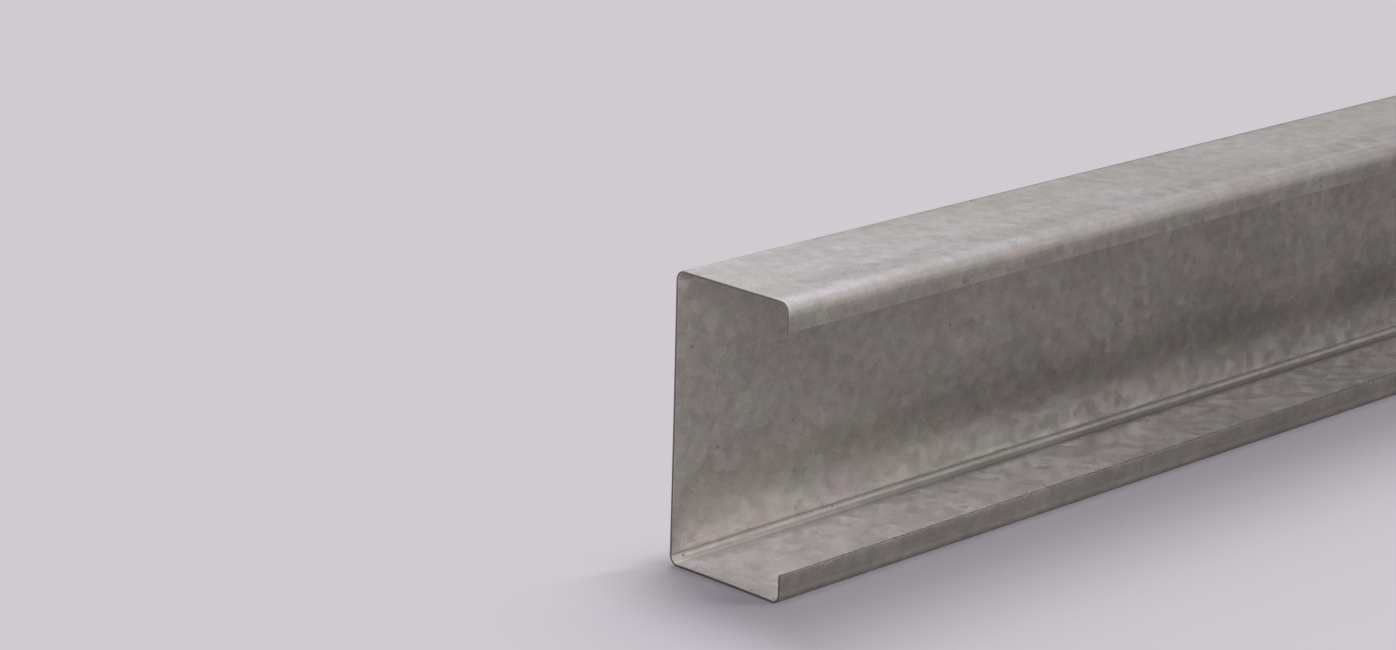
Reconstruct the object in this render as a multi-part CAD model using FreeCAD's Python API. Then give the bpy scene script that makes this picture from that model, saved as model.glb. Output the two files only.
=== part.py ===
"""Steel C purlin: one strip of galvanised sheet, cold-rolled into a channel with returned lips.

The length runs along Y. The purlin stands on its lower flange with its web upright on the -X side
and its open side towards +X. The origin is under the middle of the part, on the plane it stands on.
All lengths are in millimetres.
"""
import FreeCAD, Part
import os
from math import tan, cos

# Section, measured over the outside of the sheet
web_depth = 200.0
flange_width = 100.0
lip_depth = 20.0

# Strip
sheet_thickness = 2.0
inside_bend_radius = 5.0

# Stock length, cropped square at both ends
stock_length = 3000.0


def section_corners(inset):
    """Corners of the rolled line from lip edge to lip edge, moved into the sheet by the inset.

    With no inset they lie on the outside of the sheet. The two lip edges stay at the lip depth.
    """
    back = -flange_width / 2 + inset
    front = flange_width / 2 - inset
    foot = inset
    head = web_depth - inset
    outline = [
        (front, web_depth - lip_depth),
        (front, head),
        (back, head),
        (back, foot),
        (front, foot),
        (front, lip_depth),
    ]
    return [FreeCAD.Vector(across, -stock_length / 2, up) for across, up in outline]


def rolled_line(corners, bend_radius):
    """Straight runs through the corners, each inner corner turned by a tangent arc of the bend radius."""
    edges = []
    run_start = corners[0]
    for before, corner, after in zip(corners, corners[1:], corners[2:]):
        back_along_run = (before - corner).normalize()
        on_along_run = (after - corner).normalize()
        half_turn = (corner - before).getAngle(after - corner) / 2
        inwards = (back_along_run + on_along_run).normalize()
        bend_start = corner + back_along_run * bend_radius * tan(half_turn)
        bend_middle = corner + inwards * bend_radius * (1 / cos(half_turn) - 1)
        bend_end = corner + on_along_run * bend_radius * tan(half_turn)
        edges.append(Part.LineSegment(run_start, bend_start).toShape())
        edges.append(Part.Arc(bend_start, bend_middle, bend_end).toShape())
        run_start = bend_end
    edges.append(Part.LineSegment(run_start, corners[-1]).toShape())
    return edges


def sheet_section():
    """Face of the cut end: the outer and inner rolled lines, closed across the two lip edges."""
    outer_corners = section_corners(inset=0.0)
    inner_corners = section_corners(inset=sheet_thickness)
    outer_line = rolled_line(outer_corners, inside_bend_radius + sheet_thickness)
    inner_line = rolled_line(inner_corners, inside_bend_radius)
    lower_lip_edge = Part.LineSegment(outer_corners[-1], inner_corners[-1]).toShape()
    upper_lip_edge = Part.LineSegment(inner_corners[0], outer_corners[0]).toShape()
    around = outer_line + [lower_lip_edge] + inner_line[::-1] + [upper_lip_edge]
    return Part.Face(Part.Wire(around))


def c_purlin():
    """The section carried along the stock length."""
    return sheet_section().extrude(FreeCAD.Vector(0, stock_length, 0))


os.makedirs("parts", exist_ok=True)
purlin = c_purlin()
purlin.exportStep("parts/c_purlin.step")
print("c_purlin valid", purlin.isValid(), "volume mm3", round(purlin.Volume, 1), "box", purlin.BoundBox)
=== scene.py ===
"""Looks of a galvanised steel C purlin that stands on its lower flange on a pale studio floor.

The sheet is one closed surface worked out with numpy: the flat strip's thin section is rolled into the
lipped channel and carried along the length. Lengths are in metres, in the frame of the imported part: Y along
the length, Z up, web on the -X side and the open side towards +X.
"""
from math import cos, pi, radians, sin

import bpy
import numpy as np
from mathutils import Matrix, Vector


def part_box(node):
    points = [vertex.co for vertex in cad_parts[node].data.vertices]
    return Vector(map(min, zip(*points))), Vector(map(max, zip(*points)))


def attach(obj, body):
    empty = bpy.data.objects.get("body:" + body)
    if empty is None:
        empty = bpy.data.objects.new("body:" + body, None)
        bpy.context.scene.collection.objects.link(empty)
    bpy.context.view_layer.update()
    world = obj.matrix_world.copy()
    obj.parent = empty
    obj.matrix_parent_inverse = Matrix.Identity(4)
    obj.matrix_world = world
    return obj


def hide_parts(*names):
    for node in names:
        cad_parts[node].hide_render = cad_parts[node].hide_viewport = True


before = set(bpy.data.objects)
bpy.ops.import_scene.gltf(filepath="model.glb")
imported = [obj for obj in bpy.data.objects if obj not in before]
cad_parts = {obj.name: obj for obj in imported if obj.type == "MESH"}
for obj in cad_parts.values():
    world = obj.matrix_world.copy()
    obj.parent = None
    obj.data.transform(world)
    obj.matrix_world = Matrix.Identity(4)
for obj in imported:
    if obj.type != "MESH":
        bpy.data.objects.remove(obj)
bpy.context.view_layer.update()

LOW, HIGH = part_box("c_purlin")

# Sheet
WEB_DEPTH = HIGH.z - LOW.z
FLANGE_WIDTH = HIGH.x - LOW.x
STOCK_LENGTH = HIGH.y - LOW.y
LIP_DEPTH = 0.020
SHEET_THICKNESS = 0.002
INSIDE_BEND_RADIUS = 0.005
SLIT_EDGE_ROUND = 0.00035
CROPPED_END_ROUND = 0.00025

# Strip of the flat sheet: runs and bends in turn, from the upper lip's edge to the lower lip's edge
MIDDLE_RADIUS = INSIDE_BEND_RADIUS + SHEET_THICKNESS / 2
CORNER_TAKE_UP = INSIDE_BEND_RADIUS + SHEET_THICKNESS
LIP_RUN = LIP_DEPTH - CORNER_TAKE_UP
FLANGE_RUN = FLANGE_WIDTH - 2 * CORNER_TAKE_UP
WEB_RUN = WEB_DEPTH - 2 * CORNER_TAKE_UP
BEND_RUN = MIDDLE_RADIUS * pi / 2
LIP_TO_WEB = [LIP_RUN, BEND_RUN, FLANGE_RUN, BEND_RUN]
STRIP_RUNS = np.array(LIP_TO_WEB + [WEB_RUN] + LIP_TO_WEB[::-1])
STRIP_STARTS = np.concatenate([[0.0], np.cumsum(STRIP_RUNS)[:-1]])
STRIP_WIDTH = STRIP_RUNS.sum()
UPPER_LIP_BEND, UPPER_FLANGE = STRIP_STARTS[1:3]
WEB, LOWER_BEND, LOWER_FLANGE, LOWER_LIP_BEND = STRIP_STARTS[4:8]
BEND_STARTS = STRIP_STARTS[1::2]
TANGENT_LINES = np.sort(np.concatenate([BEND_STARTS, BEND_STARTS + BEND_RUN]))
OUTER, INNER = 1, -1

# Points of the surface: pieces of each run and bend, step along the length, and steps of a rounded edge
STRIP_PIECES = [4, 14, 14, 14, 28, 14, 14, 14, 4]
LENGTH_STEP = 0.02
EDGE_STEPS = 4

# Slackness of the rolled sheet: how far each run or bend dips into the channel, the lengths and phases of
# its waves, and how much the phase moves on with each metre of the strip
RUN_SLACK = [0.0, 0.0, 0.00025, 0.0, 0.00040, 0.0, 0.00025, 0.0, 0.0]
SLACK_WAVES = [(0.93, 0.4), (0.41, 2.1)]
SLACK_SHIFT = 9.0

# Marks that the rolls press into the inner face along the tangent lines of the bends, wider on the flanges
ROLL_MARK_DEPTH = 0.00012
UPRIGHT_MARK, FLANGE_MARK = 0.0009, 0.0024
MARK_HALF_WIDTHS = np.array([UPRIGHT_MARK, FLANGE_MARK, FLANGE_MARK, UPRIGHT_MARK] * 2)
ROLL_MARK_STEPS = 9

# Burnish that the rolls leave, with a painted highlight: full up to one distance from a bend and none from
# another. The outer face has its own share at each bend, from the upper lip's down, strongest at the upper
# lip's bend. The inside of a bend has its own finish, which fades past the bend's ends.
BURNISH_AND_HIGHLIGHT_FULL_TO = 0.0005
BURNISH_AND_HIGHLIGHT_ENDS = 0.0040
OUTER_BURNISH_AND_HIGHLIGHT = np.array([1.0, 0.2, 0.2, 0.2])
INNER_BURNISH_AND_HIGHLIGHT = 0.85
INSIDE_BEND_FADE = 0.002

# Painted light and shade in bands along the length: face, middle and half width on the strip, and change of
# tone
PAINTED_LIGHT_AND_SHADE_BANDS = [
    # Outer: painted shade on the upper lip, painted highlight at its bend, painted shade and light on the top
    (OUTER, 0.004, 0.012, -0.16),
    (OUTER, UPPER_LIP_BEND + 0.55 * BEND_RUN, 0.0045, 0.20),
    (OUTER, UPPER_FLANGE + 0.0005, 0.005, -0.07),
    (OUTER, UPPER_FLANGE + 0.017, 0.018, -0.14),
    (OUTER, UPPER_FLANGE + 0.045, 0.075, 0.11),
    # Outer face: painted shade at the lower lip's bend
    (OUTER, LOWER_LIP_BEND + 0.0025, 0.006, -0.42),
    # Inner face: painted shade on the upper web, painted light on the lower web and on the flange by the bend
    (INNER, WEB + 0.063, 0.060, -0.09),
    (INNER, LOWER_BEND - 0.040, 0.046, 0.30),
    (INNER, LOWER_FLANGE + 0.002, 0.008, 0.40),
    (INNER, LOWER_FLANGE + 0.012, 0.018, 0.12),
]

# Painted shade in waves along the length: how much darker it gets, and the way from pale to pale
PAINTED_FALLOFF_DEPTH = 0.14
PAINTED_FALLOFF_WAVE = 1.3

# Maps: the gap between pieces of the unrolled sheet, the height of an end cap's band, and how far a normal
# has to turn along the strip for its point to count as a slit edge
MAP_GAP = 0.004
CAP_BAND = 0.10
SLIT_EDGE_FACING = 0.5

# Zinc of two tints, dust on faces that look up, bare steel of cut edges, and dark of roll marks and specks
ZINC_GREEN = (0.345, 0.330, 0.282, 1.0)
ZINC_PINK = (0.368, 0.321, 0.290, 1.0)
DUST = (0.350, 0.329, 0.338, 1.0)
BARE_STEEL = (0.085, 0.078, 0.074, 1.0)
ROLL_MARK_DARK = (0.100, 0.092, 0.086, 1.0)
SPECK = (0.120, 0.110, 0.102, 1.0)

# Noises of the zinc: waves in a metre across and along the strip, finer octaves and how strong these are,
# and how far from one half a noise fills the range that it is given
GRAIN = {"waves": (420.0, 420.0), "detail": 3.0, "roughness": 0.7}
MOTTLE = {"waves": (110.0, 110.0), "detail": 3.0, "roughness": 0.6}
CLOUDS = {"waves": (13.0, 9.0), "detail": 5.0, "roughness": 0.62}
PATCHES = {"waves": (34.0, 22.0), "detail": 3.0, "roughness": 0.6}
ROLL_LINES = {"waves": (420.0, 2.2), "detail": 2.0, "roughness": 0.6}
WIDE, MEDIUM, NARROW = 0.25, 0.20, 0.15

# Crystals in a metre, how softly they meet, and the noise that makes their borders ragged
CRYSTALS = 115.0
CRYSTAL_SOFTNESS = 0.4
BORDER_WAVES = 260.0
BORDER_DETAIL = 2.0
BORDER_REACH = 0.006

# Specks: cells in a metre, the share of cells that have one, its core and edge in cells, and how far it
# covers the zinc
SPECK_CELLS = 28.0
SPECKED_SHARE = 0.14
SPECK_CORE, SPECK_EDGE = 0.015, 0.050
SPECK_COVER = 0.7

# Changes of the zinc's tone, and the shares of roll mark and of thinnest dust
FAINT_CRYSTALS, CLEAR_CRYSTALS = 0.07, 0.22
GRAIN_TONE = 0.09
MOTTLE_TONE = 0.07
CLOUD_TONE = 0.09
ROLL_LINE_TONE = 0.02
# Burnish with a painted highlight at the bends
BURNISH_AND_HIGHLIGHT_TONE = 0.38
ROLL_MARK_COVER = 0.42
THINNEST_DUST = 0.5

# Roughness of the crystals and its changes by clouds, near bends, inside bends and by dust on top
SMOOTH_CRYSTAL, ROUGH_CRYSTAL = 0.23, 0.31
CLOUD_ROUGHNESS = 0.02
BEND_ROUGHNESS = 0.29
BEND_ROUGH_TO, BEND_ROUGH_ENDS = -0.001, 0.003
INSIDE_BEND_ROUGHNESS = -0.08
DUST_ROUGHNESS = 0.28

# Metallic share of the zinc and its changes, and the relief of crystals, mottle and grain
ZINC_METALLIC = 0.45
INSIDE_BEND_METALLIC = -0.27
DUST_METALLIC = -0.15
CRYSTAL_TILT = 0.035
MOTTLE_RELIEF, MOTTLE_HEIGHT = 0.3, 0.0005
GRAIN_RELIEF, GRAIN_HEIGHT = 0.05, 0.0004

# Camera at the photograph's viewing angle, aimed at a point of the near end
VIEW_AZIMUTH = radians(44.94)
VIEW_ELEVATION = radians(16.74)
VIEW_ROLL = radians(1.51)
VIEW_DISTANCE = 2.420
AIM_FROM_WEB = 0.0205
AIM_HEIGHT = 0.1674
PHOTO_WIDTH = 1396
FOCAL_LENGTH_PIXELS = 3814
SENSOR_WIDTH = 36.0
CAMERA_REACH = 200.0

# Floor: its even colour, its colour where it is lit, what lifts the lit floor to the even one, and the share
# of that lift right beside the purlin
FLOOR_HALF_SIZE = 40.0
FLOOR_GAP = 0.0002
FLOOR_COLOUR = (0.630, 0.597, 0.638, 1.0)
LIT_FLOOR_COLOUR = (0.680, 0.680, 0.680, 1.0)
FLOOR_LIFT = (0.294, 0.265, 0.319, 1.0)
LEAST_LIFT = 0.45

# Distances behind the web where the lift is full and where the floor is even, and how many times longer
# they are on the open side and past the ends
FLOOR_LIFTED_FROM = 0.025
FLOOR_EVEN_FROM = 0.06
OPEN_SIDE_STRETCH = 7.0
END_STRETCH = 4.0

# Surroundings: pale up to one height above the horizon and dim from another
CEILING_COLOUR = (0.04, 0.04, 0.04, 1.0)
PALE_UP_TO = radians(6)
DIM_FROM = radians(24)

# Lamps: the point of the near end that the soft box looks at, and the colours of light
LAMP_AIM = Vector((0.0, LOW.y + 0.05, LOW.z + 0.04))
STRAW_LIGHT = (1.01, 1.0, 0.94)
COOL_LIGHT = (0.995, 1.0, 1.05)
BLUE_LIGHT = (0.98, 1.0, 1.08)


def rolled_line(strip):
    """Place and outward direction of the sheet's middle line, in the XZ plane, by distance along the strip.

    The line starts up the upper lip and turns a quarter to the left at each of the four bends. Along a run
    the place moves straight on with the distance; in a bend it goes round by the distance over the bend's
    radius. The outside of the sheet lies to the right of the line's heading.
    """
    part = np.clip(np.searchsorted(STRIP_STARTS, strip, side="right") - 1, 0, len(STRIP_RUNS) - 1)
    order = np.arange(len(STRIP_RUNS))
    heading = pi / 2 * (1 + order // 2)
    turn = np.where(order % 2, pi / 2, 0.0)

    def step(heading, turn, run, in_bend):
        straight = np.stack([np.cos(heading), np.sin(heading)], -1) * run[..., None]
        round_bend = MIDDLE_RADIUS * np.stack(
            [np.sin(heading + turn) - np.sin(heading), np.cos(heading) - np.cos(heading + turn)], -1)
        return np.where(in_bend[..., None], round_bend, straight)

    first = np.array([HIGH.x - SHEET_THICKNESS / 2, HIGH.z - LIP_DEPTH])
    steps = step(heading, turn, STRIP_RUNS, order % 2 == 1)
    starts = first + np.concatenate([[[0.0, 0.0]], np.cumsum(steps, 0)[:-1]])
    along = strip - STRIP_STARTS[part]
    in_bend = part % 2 == 1
    turned = np.where(in_bend, along / MIDDLE_RADIUS, 0.0)
    place = starts[part] + step(heading[part], turned, along, in_bend)
    facing = heading[part] + turned
    outward = np.stack([np.sin(facing), -np.cos(facing)], -1)
    return place, outward


def strip_stations():
    """Distances along the strip where the section has points.

    Runs and bends are cut in equal pieces, and the roll marks in finer ones.
    """
    even = np.concatenate([start + run * np.arange(pieces) / pieces
                           for start, run, pieces in zip(STRIP_STARTS, STRIP_RUNS, STRIP_PIECES)])
    clear_of_marks = (np.abs(even[:, None] - TANGENT_LINES) > MARK_HALF_WIDTHS).all(-1)
    across_mark = MARK_HALF_WIDTHS[:, None] * np.linspace(-1, 1, ROLL_MARK_STEPS)
    marks = (TANGENT_LINES[:, None] + across_mark).ravel()
    stations = np.sort(np.concatenate([even[clear_of_marks], marks, [STRIP_WIDTH]]))
    stations[0] = SLIT_EDGE_ROUND
    stations[-1] = STRIP_WIDTH - SLIT_EDGE_ROUND
    return stations


def flat_section():
    """The flat strip's section: a thin rectangle with rounded slit edges, as points and outward normals.

    A point is its distance along the strip and its height across the sheet. The first half runs along the
    outer face from the upper lip's edge to the lower lip's edge, the second half back along the inner face,
    so point i lies opposite point -1 - i.
    """
    half = SHEET_THICKNESS / 2
    angles = np.linspace(0, pi / 2, EDGE_STEPS, endpoint=False)
    edge_normals = np.stack([-np.cos(angles), np.sin(angles)], -1)
    edge_centre = np.array([SLIT_EDGE_ROUND, half - SLIT_EDGE_ROUND])
    start_edge = edge_centre + SLIT_EDGE_ROUND * edge_normals
    face = strip_stations()
    face_points = np.stack([face, np.full(len(face), half)], -1)
    face_normals = np.tile([0.0, 1.0], (len(face), 1))
    end_edge = (start_edge * [-1, 1] + [STRIP_WIDTH, 0])[::-1]
    end_normals = (edge_normals * [-1, 1])[::-1]
    outer = np.concatenate([start_edge, face_points, end_edge])
    outer_normals = np.concatenate([edge_normals, face_normals, end_normals])
    points = np.concatenate([outer, (outer * [1, -1])[::-1]])
    normals = np.concatenate([outer_normals, (outer_normals * [1, -1])[::-1]])
    return points, normals


def length_stations():
    """Places along Y and the section's inset there: even steps, and a quarter round at either end."""
    turn = np.linspace(0, pi / 2, EDGE_STEPS + 1)
    rise = CROPPED_END_ROUND * (1 - np.sin(turn))[::-1]
    inset = CROPPED_END_ROUND * (1 - np.cos(turn))[::-1]
    steps = 2 * round(STOCK_LENGTH / LENGTH_STEP / 2)
    body = np.linspace(LOW.y, HIGH.y, steps + 1)[1:-1]
    places = np.concatenate([LOW.y + rise, body, HIGH.y - rise[::-1]])
    insets = np.concatenate([inset, np.zeros(len(body)), inset[::-1]])
    return places, insets


def bell(distance):
    """One in the middle, and down to nothing at a distance of one either way, by a cosine."""
    return 0.5 + 0.5 * np.cos(pi * np.clip(distance, -1, 1))


def slackness(strip, along):
    """How far a flat dips into the channel: a sine-squared crown across it times slow waves along it."""
    dip = np.zeros(np.broadcast(strip, along).shape)
    for start, run, slack in zip(STRIP_STARTS, STRIP_RUNS, RUN_SLACK):
        across = np.clip((strip - start) / run, 0, 1)
        waves = sum(0.5 + 0.5 * np.cos(2 * pi * along / wave + phase + SLACK_SHIFT * start)
                    for wave, phase in SLACK_WAVES)
        dip = dip + slack * np.sin(pi * across) ** 2 * waves / len(SLACK_WAVES)
    return dip


def roll_mark(strip, across):
    """Share of a roll mark's full depth: a bell over each tangent line, on the inner face alone."""
    from_line = (np.abs(strip[..., None] - TANGENT_LINES) / MARK_HALF_WIDTHS).min(-1)
    return np.where(across < 0, bell(from_line), 0.0)


def nearest_bend(strip):
    """Number of the bend that is nearest along the strip, and the distance to it, below zero inside it."""
    from_bends = np.abs(strip[..., None] - BEND_STARTS - BEND_RUN / 2) - BEND_RUN / 2
    return from_bends.argmin(-1), from_bends.min(-1)


def burnish(strip, across):
    """Share of burnish and painted highlight: a bend's own in and close to it, down to nothing farther off.
    """
    bend, from_bend = nearest_bend(strip)
    fade = (from_bend - BURNISH_AND_HIGHLIGHT_FULL_TO) / (BURNISH_AND_HIGHLIGHT_ENDS - BURNISH_AND_HIGHLIGHT_FULL_TO)
    return bell(np.maximum(fade, 0)) * np.where(across < 0, INNER_BURNISH_AND_HIGHLIGHT, OUTER_BURNISH_AND_HIGHLIGHT[bend])


def inside_bend(strip, across):
    """Share of a bend's inside, on the inner face alone: one in the bend, down to nothing past its ends."""
    past_end = nearest_bend(strip)[1] / INSIDE_BEND_FADE
    return np.where(across < 0, bell(np.maximum(past_end, 0)), 0.0)


def dustiness(strip, across):
    """Share of full dust: how far the outer or the inner face looks up, and none inside a bend."""
    outward = rolled_line(strip)[1]
    upward = np.clip(outward[..., 1] * np.where(across < 0, -1.0, 1.0), 0, 1)
    return upward * (1 - inside_bend(strip, across))


def dull_top(strip, across):
    """Share of the dust that dulls the outer face where it looks up."""
    return np.where(across > 0, dustiness(strip, across), 0.0)


def painted_light_and_shade_bands(strip, across):
    """Painted light and shade by the bands along the length: a bell over each, on its own face of the sheet.
    """
    change = np.zeros(strip.shape)
    for face, middle, half_width, amount in PAINTED_LIGHT_AND_SHADE_BANDS:
        change = change + np.where(across * face > 0, amount * bell((strip - middle) / half_width), 0.0)
    return change


def painted_falloff(strip, across, along):
    """Painted shade along the length: darker by a sine's fourth power, except where the top is dull."""
    falloff = np.sin(pi * (along - LOW.y) / PAINTED_FALLOFF_WAVE) ** 4
    return -PAINTED_FALLOFF_DEPTH * falloff[:, None] * (1 - dull_top(strip, across))


def cut_edges(normals, rows):
    """One on the cropped ends and on the slit edges, and nothing elsewhere."""
    bare = np.zeros((rows, len(normals)))
    bare[[0, -1]] = 1.0
    bare[:, np.abs(normals[:, 0]) > SLIT_EDGE_FACING] = 1.0
    return bare


def sheet_points(section, normals, along, insets):
    """Places of the sheet's vertices and the flat strip's place of each.

    Vertex (i, j) is section point j, moved in by the inset of length station i, laid on the rolled line and
    pushed off it along its outward direction by the height across the sheet, less the sheet's slackness
    there and with the roll marks sunk into the inner face.
    """
    flat = section[None] - insets[:, None, None] * normals[None]
    strip, across = flat[..., 0], flat[..., 1]
    place, outward = rolled_line(strip)
    lift = across - slackness(strip, along[:, None]) + ROLL_MARK_DEPTH * roll_mark(strip, across)
    rolled = place + lift[..., None] * outward
    points = np.stack(np.broadcast_arrays(rolled[..., 0], along[:, None], rolled[..., 1]), -1)
    return points, strip, across


def sheet_faces(rows, around):
    """Quads of the closed sheet: its skin, and a ladder of section points that caps either end.

    The skin joins neighbouring points of neighbouring length stations. The ladder's rungs join each point
    of the outer face with the point opposite on the inner face.
    """
    index = np.arange(rows * around).reshape(rows, around)
    after = np.roll(index, -1, axis=1)
    skin = np.stack([index[:-1], index[1:], after[1:], after[:-1]], -1).reshape(-1, 4)
    outer = np.arange(around // 2 - 1)
    inner = around - 1 - outer
    ladder = np.stack([outer, outer + 1, inner - 1, inner], -1)
    faces = np.concatenate([skin, index[0][ladder], index[-1][ladder[:, ::-1]]])
    return faces, ladder


def skin_map(section, along):
    """Distance round the section and place along the length, in metres, at each corner of a skin quad."""
    sides = np.linalg.norm(np.diff(section, axis=0, append=section[:1]), axis=-1)
    round_section = np.concatenate([[0.0], np.cumsum(sides)])
    before, after = round_section[:-1], round_section[1:]
    low, high = along[:-1], along[1:]
    across = np.stack([before, before, after, after], -1)
    up = np.stack([low, high, high, low], -1)
    return np.stack(np.broadcast_arrays(across[None], up[:, None]), -1).reshape(-1, 4, 2)


def strip_map(skin, cap):
    """The map of the zinc's pattern, in metres: the skin as it is, and the caps as strips past the ends."""
    near_cap = cap + [0.0, LOW.y - SHEET_THICKNESS]
    far_cap = (cap * [1, -1] + [0.0, HIGH.y + SHEET_THICKNESS])[:, ::-1]
    return np.concatenate([skin, near_cap, far_cap])


def unrolled_map(skin, cap):
    """The whole sheet laid out once on a unit square, with nothing on top of anything else.

    The skin is cut at mid-length, and its halves lie side by side with the caps above. A cap is a band as
    long as the strip is wide, with the sheet's thickness stretched to the band's height.
    """
    girth = skin[..., 0].max()
    middle = (LOW.y + HIGH.y) / 2
    in_far_half = skin[..., 1].mean(-1, keepdims=True) > middle
    across = skin[..., 0] + np.where(in_far_half, girth + MAP_GAP, 0.0)
    up = skin[..., 1] - np.where(in_far_half, middle, LOW.y)
    stretch = CAP_BAND / SHEET_THICKNESS
    above = STOCK_LENGTH / 2 + MAP_GAP + CAP_BAND / 2
    near_cap = cap * [1, stretch] + [0.0, above]
    far_cap = (cap * [1, -stretch] + [STRIP_WIDTH + MAP_GAP, above])[:, ::-1]
    laid_out = np.concatenate([np.stack([across, up], -1), near_cap, far_cap]) + MAP_GAP / 2
    unit = laid_out / (2 * girth + 2 * MAP_GAP)
    return np.stack([1 - unit[..., 0], unit[..., 1]], -1)


def purlin_sheet():
    """The whole sheet as one closed mesh: the flat section rolled up, carried along Y and capped."""
    section, normals = flat_section()
    along, insets = length_stations()
    points, strip, across = sheet_points(section, normals, along, insets)
    faces, ladder = sheet_faces(*strip.shape)
    mesh = bpy.data.meshes.new("c_purlin_sheet")
    mesh.from_pydata(points.reshape(-1, 3), [], faces.tolist())
    mesh.polygons.foreach_set("use_smooth", np.ones(len(faces), bool))

    skin = skin_map(section, along)
    cap = section[ladder]
    for name, places in {"strip": strip_map(skin, cap), "OFBake": unrolled_map(skin, cap)}.items():
        mesh.uv_layers.new(name=name).uv.foreach_set("vector", places.ravel().astype(np.float32))
    finishes_and_painted_light = {
        "from_bend": nearest_bend(strip)[1],
        "inside_bend": inside_bend(strip, across),
        # painted light and shade, in bands and in waves along the length
        "band_tone": painted_light_and_shade_bands(strip, across) + painted_falloff(strip, across, along),
        # burnish and a painted highlight
        "burnish": burnish(strip, across),
        "dust": dustiness(strip, across),
        "dull_top": dull_top(strip, across),
        "roll_mark": roll_mark(strip, across),
        "bare": cut_edges(normals, len(along)),
    }
    for name, values in finishes_and_painted_light.items():
        layer = mesh.attributes.new(name, "FLOAT", "POINT")
        layer.data.foreach_set("value", values.ravel().astype(np.float32))
    sheet = bpy.data.objects.new("c_purlin_sheet", mesh)
    bpy.context.scene.collection.objects.link(sheet)
    return sheet


def add_node(tree, kind, inputs=None, **settings):
    """A shader node with its settings and inputs: an input that is a socket is linked, any other is set."""
    node = tree.nodes.new(kind)
    for name, value in settings.items():
        setattr(node, name, value)
    for name, value in (inputs or {}).items():
        if isinstance(value, bpy.types.NodeSocket):
            tree.links.new(value, node.inputs[name])
        else:
            node.inputs[name].default_value = value
    return node


def calculate(tree, operation, first, second=0.0):
    """The result of one sum on two numbers or sockets."""
    return add_node(tree, "ShaderNodeMath", {0: first, 1: second}, operation=operation).outputs[0]


def total(tree, first, *others):
    """Several numbers or sockets added up."""
    result = first
    for other in others:
        result = calculate(tree, "ADD", result, other)
    return result


def vector_sum(tree, operation, *vectors):
    """The result of one sum on up to three vectors or sockets."""
    return add_node(tree, "ShaderNodeVectorMath", dict(enumerate(vectors)), operation=operation).outputs[0]


def ramp(tree, value, low, high, out_low, out_high):
    """A number carried smoothly from one range to another."""
    inputs = {"Value": value, "From Min": low, "From Max": high, "To Min": out_low, "To Max": out_high}
    return add_node(tree, "ShaderNodeMapRange", inputs, interpolation_type="SMOOTHSTEP").outputs["Result"]


def noise(tree, place, waves, detail, roughness):
    """A noise from 0 to 1 on the strip, with its own number of waves in a metre across and along it."""
    spread = add_node(tree, "ShaderNodeMapping", {"Vector": place, "Scale": (*waves, 1.0)})
    inputs = {"Vector": spread.outputs[0], "Scale": 1.0, "Detail": detail, "Roughness": roughness}
    return add_node(tree, "ShaderNodeTexNoise", inputs, noise_dimensions="2D").outputs["Fac"]


def swing(tree, pattern, reach, low, high):
    """A noise carried to a range, which is full where the noise is its reach away from one half."""
    return ramp(tree, pattern, 0.5 - reach, 0.5 + reach, low, high)


def blend(tree, share, first, second, way="MIX"):
    """Two colours mixed, or joined another way, by a share."""
    inputs = {"Factor": share, 6: first, 7: second}
    return add_node(tree, "ShaderNodeMix", inputs, data_type="RGBA", blend_type=way).outputs[2]


def attribute(tree, name):
    """A number that the sheet's vertices carry."""
    return add_node(tree, "ShaderNodeAttribute", attribute_name=name).outputs["Fac"]


def change_by(tree, name, change):
    """A change that grows smoothly with a share that the sheet's vertices carry."""
    return ramp(tree, attribute(tree, name), 0.0, 1.0, 0.0, change)


def spangle(tree, strip):
    """A random colour for each zinc crystal: cells about 9 mm across with ragged borders."""
    inputs = {"Vector": strip, "Scale": BORDER_WAVES, "Detail": BORDER_DETAIL}
    ragged = add_node(tree, "ShaderNodeTexNoise", inputs, noise_dimensions="2D").outputs["Color"]
    shifted = vector_sum(tree, "MULTIPLY_ADD", ragged, (BORDER_REACH, BORDER_REACH, 0.0), strip)
    inputs = {"Vector": shifted, "Scale": CRYSTALS, "Smoothness": CRYSTAL_SOFTNESS}
    cells = add_node(tree, "ShaderNodeTexVoronoi", inputs, voronoi_dimensions="2D", feature="SMOOTH_F1")
    return cells.outputs["Color"]


def specks(tree, strip):
    """Share of dark speck: a dot about 2 mm wide in a few of the cells of a coarse pattern."""
    cells = add_node(tree, "ShaderNodeTexVoronoi", {"Vector": strip, "Scale": SPECK_CELLS},
                     voronoi_dimensions="2D", feature="F1")
    chosen = add_node(tree, "ShaderNodeSeparateColor", {"Color": cells.outputs["Color"]})
    some = calculate(tree, "LESS_THAN", chosen.outputs[0], SPECKED_SHARE)
    dot = ramp(tree, cells.outputs["Distance"], SPECK_CORE, SPECK_EDGE, SPECK_COVER, 0.0)
    return calculate(tree, "MULTIPLY", some, dot)


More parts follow.
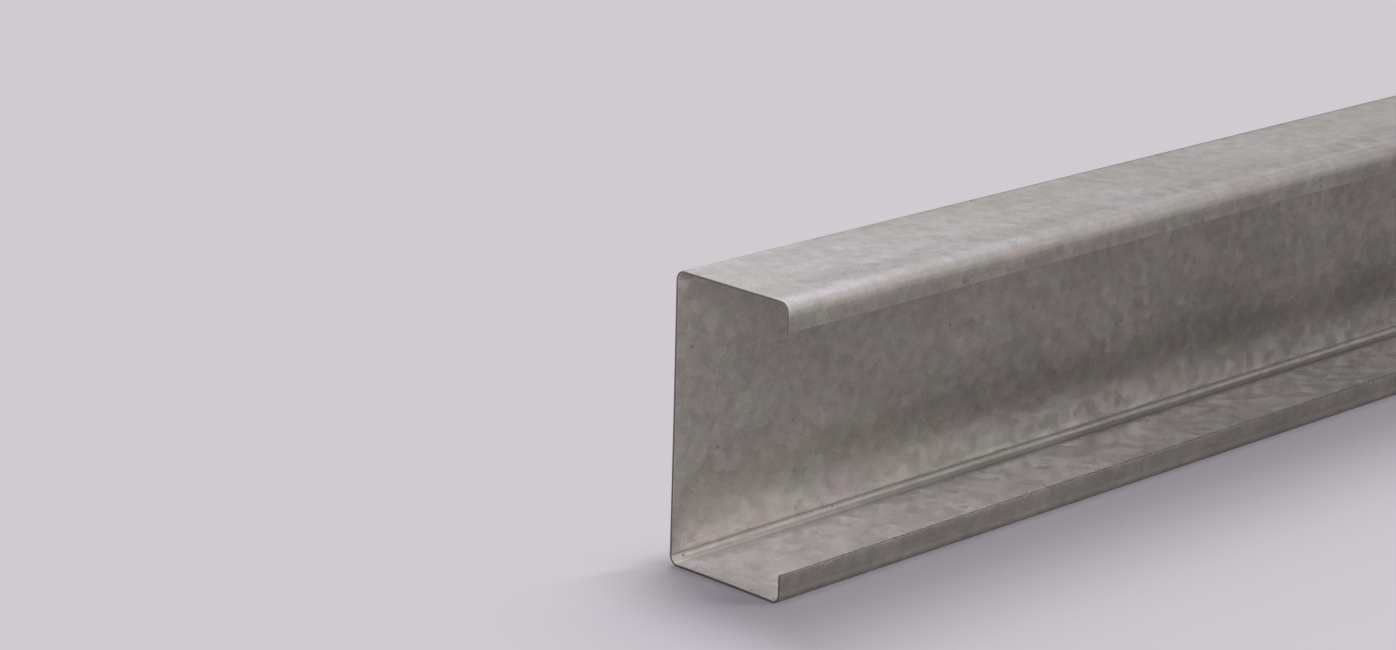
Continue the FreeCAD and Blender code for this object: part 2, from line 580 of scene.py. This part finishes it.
def zinc_tone(tree, strip, crystal, clouds, mottle, grain):
    """How pale the zinc is, about one: by crystals, noises, burnish and bands, with painted light and shade.
    """
    clearness = swing(tree, clouds, NARROW, FAINT_CRYSTALS, CLEAR_CRYSTALS)
    flake = calculate(tree, "MULTIPLY", calculate(tree, "SUBTRACT", crystal, 0.5), clearness)
    return total(
        tree, flake, 1.0,
        swing(tree, grain, WIDE, -GRAIN_TONE, GRAIN_TONE),
        swing(tree, mottle, MEDIUM, -MOTTLE_TONE, MOTTLE_TONE),
        swing(tree, clouds, MEDIUM, -CLOUD_TONE, CLOUD_TONE),
        swing(tree, noise(tree, strip, **ROLL_LINES), MEDIUM, -ROLL_LINE_TONE, ROLL_LINE_TONE),
        # burnish and a painted highlight
        calculate(tree, "MULTIPLY", attribute(tree, "burnish"), BURNISH_AND_HIGHLIGHT_TONE),
        # painted light and shade, in bands and in waves along the length
        attribute(tree, "band_tone"))


def sheet_colour(tree, strip, tone, clouds):
    """Zinc of two tints under dust, made paler or darker, with specks, roll marks and bare cut edges."""
    patches = swing(tree, noise(tree, strip, **PATCHES), NARROW, 0.0, 1.0)
    thickness = swing(tree, clouds, MEDIUM, THINNEST_DUST, 1.0)
    dust = calculate(tree, "MULTIPLY", attribute(tree, "dust"), thickness)
    mark_dark = calculate(tree, "MULTIPLY", attribute(tree, "roll_mark"), ROLL_MARK_COVER)
    zinc = blend(tree, patches, ZINC_GREEN, ZINC_PINK)
    zinc = blend(tree, dust, zinc, DUST)
    zinc = blend(tree, 1.0, zinc, tone, "MULTIPLY")
    zinc = blend(tree, specks(tree, strip), zinc, SPECK)
    zinc = blend(tree, mark_dark, zinc, ROLL_MARK_DARK)
    return blend(tree, attribute(tree, "bare"), zinc, BARE_STEEL)


def zinc_roughness(tree, crystal, clouds):
    """How dull the sheet is: by its crystals and clouds, at its bends and under the dust on top."""
    from_bend = attribute(tree, "from_bend")
    return total(
        tree,
        ramp(tree, crystal, 0.0, 1.0, SMOOTH_CRYSTAL, ROUGH_CRYSTAL),
        swing(tree, clouds, MEDIUM, -CLOUD_ROUGHNESS, CLOUD_ROUGHNESS),
        ramp(tree, from_bend, BEND_ROUGH_TO, BEND_ROUGH_ENDS, BEND_ROUGHNESS, 0.0),
        change_by(tree, "inside_bend", INSIDE_BEND_ROUGHNESS),
        change_by(tree, "dull_top", DUST_ROUGHNESS))


def zinc_relief(tree, crystals, mottle, grain):
    """Normal of the zinc: each crystal leans its own way, under waves of the mottle and of the grain."""
    facing = add_node(tree, "ShaderNodeNewGeometry").outputs["Normal"]
    lean = vector_sum(tree, "SUBTRACT", crystals, (0.5, 0.5, 0.5))
    tilted = vector_sum(tree, "MULTIPLY_ADD", lean, (CRYSTAL_TILT, CRYSTAL_TILT, CRYSTAL_TILT), facing)
    normal = vector_sum(tree, "NORMALIZE", tilted)
    for height, strength, distance in (
            (mottle, MOTTLE_RELIEF, MOTTLE_HEIGHT), (grain, GRAIN_RELIEF, GRAIN_HEIGHT)):
        inputs = {"Height": height, "Strength": strength, "Distance": distance, "Normal": normal}
        normal = add_node(tree, "ShaderNodeBump", inputs).outputs[0]
    return normal


def galvanised_sheet():
    """Dull zinc: small crystals that differ in tone, tilt and gloss, over tinted patches and clouds.

    It is burnished at the bends, with a painted highlight, dusty where it looks up, and bare steel on the cut
    edges. Painted light and shade lie on it in bands and in waves along the length.
    """
    material = bpy.data.materials.new("galvanised_sheet")
    material.use_nodes = True
    tree = material.node_tree
    tree.nodes.clear()
    strip = add_node(tree, "ShaderNodeUVMap", uv_map="strip").outputs["UV"]
    crystals = spangle(tree, strip)
    crystal = add_node(tree, "ShaderNodeSeparateColor", {"Color": crystals}).outputs
    grain = noise(tree, strip, **GRAIN)
    mottle = noise(tree, strip, **MOTTLE)
    clouds = noise(tree, strip, **CLOUDS)
    tone = zinc_tone(tree, strip, crystal[0], clouds, mottle, grain)
    metallic = total(tree, change_by(tree, "inside_bend", INSIDE_BEND_METALLIC),
                     change_by(tree, "dull_top", DUST_METALLIC), ZINC_METALLIC)
    surface = add_node(tree, "ShaderNodeBsdfPrincipled", {
        "Base Color": sheet_colour(tree, strip, tone, clouds),
        "Metallic": metallic,
        "Roughness": zinc_roughness(tree, crystal[1], clouds),
        "Normal": zinc_relief(tree, crystals, mottle, grain)})
    add_node(tree, "ShaderNodeOutputMaterial", {"Surface": surface.outputs[0]})
    return material


def beside_purlin(tree):
    """Distance of a floor point from the purlin, shrunk on the open side and past the ends."""
    place = add_node(tree, "ShaderNodeTexCoord").outputs["Object"]
    place = add_node(tree, "ShaderNodeSeparateXYZ", {"Vector": place})
    past_web = calculate(tree, "SUBTRACT", LOW.x, place.outputs["X"])
    past_lips = calculate(tree, "SUBTRACT", place.outputs["X"], HIGH.x)
    past_end = calculate(tree, "SUBTRACT", calculate(tree, "ABSOLUTE", place.outputs["Y"]), HIGH.y)
    past_lips = calculate(tree, "DIVIDE", past_lips, OPEN_SIDE_STRETCH)
    past_end = calculate(tree, "DIVIDE", past_end, END_STRETCH)
    return calculate(tree, "MAXIMUM", calculate(tree, "MAXIMUM", past_web, past_lips), past_end)


def floor_finish():
    """An even floor, as seen and in reflections, that keeps the purlin's shadow close beside it.

    There the floor is lit as anything else is, and a glow that weakens towards the purlin lifts it to about
    the even colour. Neither the glow nor the even colour is in the diffuse light that the floor throws back.
    """
    material = bpy.data.materials.new("studio_floor")
    material.use_nodes = True
    tree = material.node_tree
    tree.nodes.clear()
    path = add_node(tree, "ShaderNodeLightPath")
    seen = calculate(tree, "MAXIMUM", path.outputs["Is Camera Ray"], path.outputs["Is Glossy Ray"])
    seen = calculate(tree, "MAXIMUM", seen, path.outputs["Is Transmission Ray"])
    away = beside_purlin(tree)
    lifted = calculate(tree, "MULTIPLY", seen, ramp(tree, away, 0.0, FLOOR_LIFTED_FROM, LEAST_LIFT, 1.0))
    even_share = calculate(tree, "MULTIPLY", seen, ramp(tree, away, 0.0, FLOOR_EVEN_FROM, 0.0, 1.0))
    lit = add_node(tree, "ShaderNodeBsdfDiffuse", {"Color": LIT_FLOOR_COLOUR})
    lift = add_node(tree, "ShaderNodeEmission", {"Color": FLOOR_LIFT, "Strength": lifted})
    lit = add_node(tree, "ShaderNodeAddShader", {0: lit.outputs[0], 1: lift.outputs[0]})
    even = add_node(tree, "ShaderNodeEmission", {"Color": FLOOR_COLOUR, "Strength": 1.0})
    surface = add_node(tree, "ShaderNodeMixShader", {0: even_share, 1: lit.outputs[0], 2: even.outputs[0]})
    add_node(tree, "ShaderNodeOutputMaterial", {"Surface": surface.outputs[0]})
    material.cycles.emission_sampling = "NONE"
    return material


def studio_floor():
    """A wide plain floor just under the purlin."""
    corners = np.array([[-1, -1], [1, -1], [1, 1], [-1, 1]]) * FLOOR_HALF_SIZE
    mesh = bpy.data.meshes.new("studio_floor")
    mesh.from_pydata(np.column_stack([corners, np.full(4, LOW.z - FLOOR_GAP)]), [], [[0, 1, 2, 3]])
    mesh.materials.append(floor_finish())
    floor = bpy.data.objects.new("studio_floor", mesh)
    bpy.context.scene.collection.objects.link(floor)


def studio_world():
    """Surroundings as pale as the floor round the horizon, and dim overhead."""
    world = bpy.data.worlds.new("studio")
    world.use_nodes = True
    tree = world.node_tree
    tree.nodes.clear()
    direction = add_node(tree, "ShaderNodeTexCoord").outputs["Generated"]
    height = add_node(tree, "ShaderNodeSeparateXYZ", {"Vector": direction}).outputs["Z"]
    dimness = ramp(tree, height, sin(PALE_UP_TO), sin(DIM_FROM), 0.0, 1.0)
    colour = blend(tree, dimness, FLOOR_COLOUR, CEILING_COLOUR)
    background = add_node(tree, "ShaderNodeBackground", {"Color": colour, "Strength": 1.0})
    add_node(tree, "ShaderNodeOutputWorld", {"Surface": background.outputs[0]})
    bpy.context.scene.world = world


def towards(azimuth, elevation):
    """Direction to a lamp or the camera, by elevation and by azimuth from the near end to the open side."""
    return Vector((sin(azimuth) * cos(elevation), -cos(azimuth) * cos(elevation), sin(elevation)))


def sun_lamp(name, azimuth, elevation, strength, softness, colour):
    """A far soft lamp. All angles are in degrees."""
    data = bpy.data.lights.new(name, "SUN")
    data.energy = strength
    data.color = colour
    data.angle = radians(softness)
    lamp = bpy.data.objects.new(name, data)
    lamp.rotation_euler = towards(radians(azimuth), radians(elevation)).to_track_quat("Z", "Y").to_euler()
    bpy.context.scene.collection.objects.link(lamp)


def soft_box(name, azimuth, elevation, distance, size, strength, colour, lit):
    """A square lamp a distance off the near end that lights one thing alone. Angles are in degrees."""
    data = bpy.data.lights.new(name, "AREA")
    data.shape = "SQUARE"
    data.size = size
    data.energy = strength
    data.color = colour
    lamp = bpy.data.objects.new(name, data)
    direction = towards(radians(azimuth), radians(elevation))
    lamp.location = LAMP_AIM + direction * distance
    lamp.rotation_euler = direction.to_track_quat("Z", "Y").to_euler()
    lamp.visible_camera = False
    lamp.light_linking.receiver_collection = bpy.data.collections.new(f"{name}_lights")
    lamp.light_linking.receiver_collection.objects.link(lit)
    bpy.context.scene.collection.objects.link(lamp)


def photo_camera():
    """A camera that sees the near end as the photograph does."""
    back = towards(VIEW_AZIMUTH, VIEW_ELEVATION)
    level = Vector((cos(VIEW_AZIMUTH), sin(VIEW_AZIMUTH), 0.0))
    upright = back.cross(level)
    right = level * cos(VIEW_ROLL) + upright * sin(VIEW_ROLL)
    up = upright * cos(VIEW_ROLL) - level * sin(VIEW_ROLL)
    aim = Vector((LOW.x + AIM_FROM_WEB, LOW.y, LOW.z + AIM_HEIGHT))
    data = bpy.data.cameras.new("photo_camera")
    data.sensor_width = SENSOR_WIDTH
    data.lens = FOCAL_LENGTH_PIXELS / PHOTO_WIDTH * SENSOR_WIDTH
    data.clip_end = CAMERA_REACH
    camera = bpy.data.objects.new("photo_camera", data)
    turned = Matrix((right, up, back)).transposed().to_4x4()
    camera.matrix_world = Matrix.Translation(aim + back * VIEW_DISTANCE) @ turned
    bpy.context.scene.collection.objects.link(camera)
    bpy.context.scene.camera = camera


sheet = purlin_sheet()
sheet.data.materials.append(galvanised_sheet())
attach(sheet, "root")
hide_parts("c_purlin")

studio_floor()
studio_world()
sun_lamp("behind", azimuth=208, elevation=46, strength=1.40, softness=60, colour=STRAW_LIGHT)
sun_lamp("low_right", azimuth=134, elevation=21, strength=0.70, softness=22, colour=COOL_LIGHT)
soft_box("near_front", azimuth=3, elevation=41, distance=0.85, size=0.6, strength=8.6,
         colour=BLUE_LIGHT, lit=sheet)
photo_camera()
bpy.context.scene.view_settings.view_transform = "Standard"
